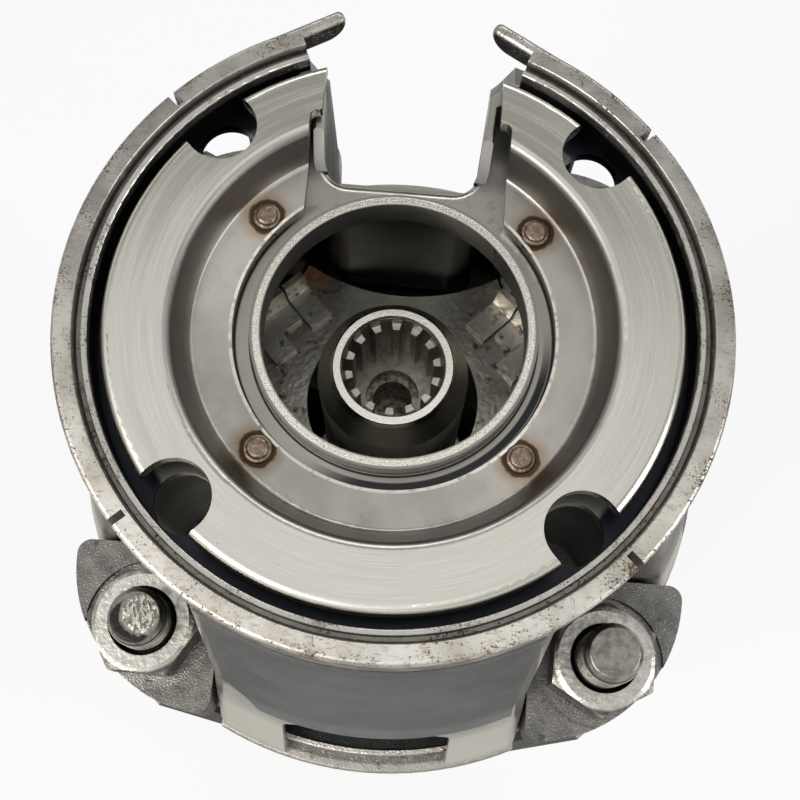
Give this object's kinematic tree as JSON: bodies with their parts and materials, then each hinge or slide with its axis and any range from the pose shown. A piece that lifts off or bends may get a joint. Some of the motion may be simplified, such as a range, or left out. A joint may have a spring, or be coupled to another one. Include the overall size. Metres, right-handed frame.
{
  "type": "submersible well pump",
  "caption": "Multistage submersible well pump end for a splined motor, with inlet windows, strapped bowls, a sprung check valve and a threaded discharge.",
  "frame": {"origin": "centre of the discharge face, on which the pump stands", "axes": "+Z along the pump's axis towards the motor's face, -Y the front, +Y the cable channel"},
  "size_m": [0.1218, 0.1218, 0.4],
  "materials": {
    "ring_band": "rough, pitted stainless with scratches",
    "machined_plate": "turned and brushed bright stainless",
    "weld_plugs": "heat-tinted weld plugs",
    "drawn_shell": "satin drawn stainless sheet",
    "inner_sheet": "satin stainless with light rust at spots",
    "cast_flange": "blasted cast stainless",
    "stage_sheet": "drawn stainless sheet",
    "impeller_sheet": "welded stainless sheet",
    "bearing_rubber": "black nitrile",
    "ring_plastic": "black moulded ring",
    "turned_steel": "turned stainless",
    "cast_casing": "cast stainless",
    "valve_steel": "turned stainless",
    "spring_wire": "drawn stainless wire",
    "strap_steel": "rolled stainless strip and threaded stud",
    "nut_steel": "worn stainless"
  },
  "bodies": {
    "casing": {"mounting_ring": "ring_band", "motor_plate": "machined_plate", "plug_welds": "weld_plugs", "inlet_shell": "drawn_shell", "floor_baffle": "inner_sheet", "baffle_feet": "inner_sheet", "suction_flange": "cast_flange", "suction_plate": "stage_sheet", "bowl_1": "stage_sheet", "bowl_2": "stage_sheet", "last_chamber": "stage_sheet", "guide_vanes_1": "stage_sheet", "guide_vanes_2": "stage_sheet", "chamber_bearing_1": "bearing_rubber", "chamber_bearing_2": "bearing_rubber", "end_bearing": "bearing_rubber", "neck_ring_1": "ring_plastic", "neck_ring_2": "ring_plastic", "valve_casing": "cast_casing", "valve_guide": "cast_casing", "valve_seat": "valve_steel", "seat_retainer": "valve_steel", "strap_back_right": "strap_steel", "strap_back_left": "strap_steel", "strap_front_left": "strap_steel", "strap_front_right": "strap_steel", "strap_nuts": "nut_steel"},
    "rotor": {"pump_shaft": "turned_steel", "spline_coupling": "turned_steel", "coupling_pin": "turned_steel", "impeller_1": "impeller_sheet", "impeller_2": "impeller_sheet", "split_cone_1": "turned_steel", "split_cone_2": "turned_steel", "cone_nut_1": "turned_steel", "cone_nut_2": "turned_steel"},
    "valve": {"valve_cup": "valve_steel", "valve_spring": "spring_wire"}
  },
  "joints": [
    {"name": "rotor_spin", "type": "hinge", "parent": "casing", "child": "rotor", "pos_m": [0, 0, 0.2], "axis": [0, 0, 1], "continuous": true},
    {"name": "valve_slide", "type": "slide", "parent": "casing", "child": "valve", "axis": [0, 0, -1], "range_m": [0, 0.018], "stiffness_N_per_m": 400, "springref_m": -0.02, "deforming": ["valve_spring"]}
  ]
}
